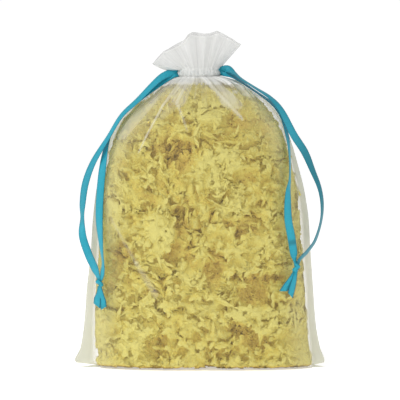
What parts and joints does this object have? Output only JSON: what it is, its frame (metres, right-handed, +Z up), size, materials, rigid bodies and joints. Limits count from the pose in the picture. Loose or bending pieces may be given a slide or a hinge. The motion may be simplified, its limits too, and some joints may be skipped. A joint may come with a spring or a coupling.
{
  "type": "bag of sea sponge pieces",
  "caption": "Sheer organza drawstring bag stuffed with torn natural sea sponge, its neck drawn in under a frill and tied at both sides with satin ribbon",
  "frame": {"origin": "on the ground under the middle of the bag, at the centre of the bag's bounding box seen from above", "axes": "+Z up and along the bag's longest extent; the front faces -Y; +X to the right seen from the front; the bag is thinnest along Y"},
  "size_m": [0.2, 0.087, 0.267],
  "materials": {
    "organza": "sheer woven organza, white, fine open weave with a soft sheen",
    "sponge": "natural sea sponge, torn, porous and fibrous, pale yellow with brown hollows",
    "satin": "turquoise satin ribbon, smooth, with a soft lengthwise sheen"
  },
  "bodies": {
    "root": {"organza_bag": "organza", "sponge_piece_01": "sponge", "sponge_piece_02": "sponge", "sponge_piece_03": "sponge", "sponge_piece_04": "sponge", "sponge_piece_05": "sponge", "sponge_piece_06": "sponge", "sponge_piece_07": "sponge", "sponge_piece_08": "sponge", "sponge_piece_09": "sponge", "sponge_piece_10": "sponge", "sponge_piece_11": "sponge", "sponge_piece_12": "sponge", "sponge_piece_13": "sponge", "sponge_piece_14": "sponge", "sponge_piece_15": "sponge", "sponge_piece_16": "sponge", "sponge_piece_17": "sponge", "sponge_piece_18": "sponge", "sponge_piece_19": "sponge", "sponge_piece_20": "sponge", "sponge_piece_21": "sponge", "sponge_piece_22": "sponge", "sponge_piece_23": "sponge", "sponge_piece_24": "sponge", "ribbon_left_loop": "satin", "ribbon_left_outer": "satin", "ribbon_left_inner": "satin", "ribbon_left_knot": "satin", "ribbon_right_loop": "satin", "ribbon_right_outer": "satin", "ribbon_right_inner": "satin", "ribbon_right_knot": "satin"}
  },
  "joints": []
}
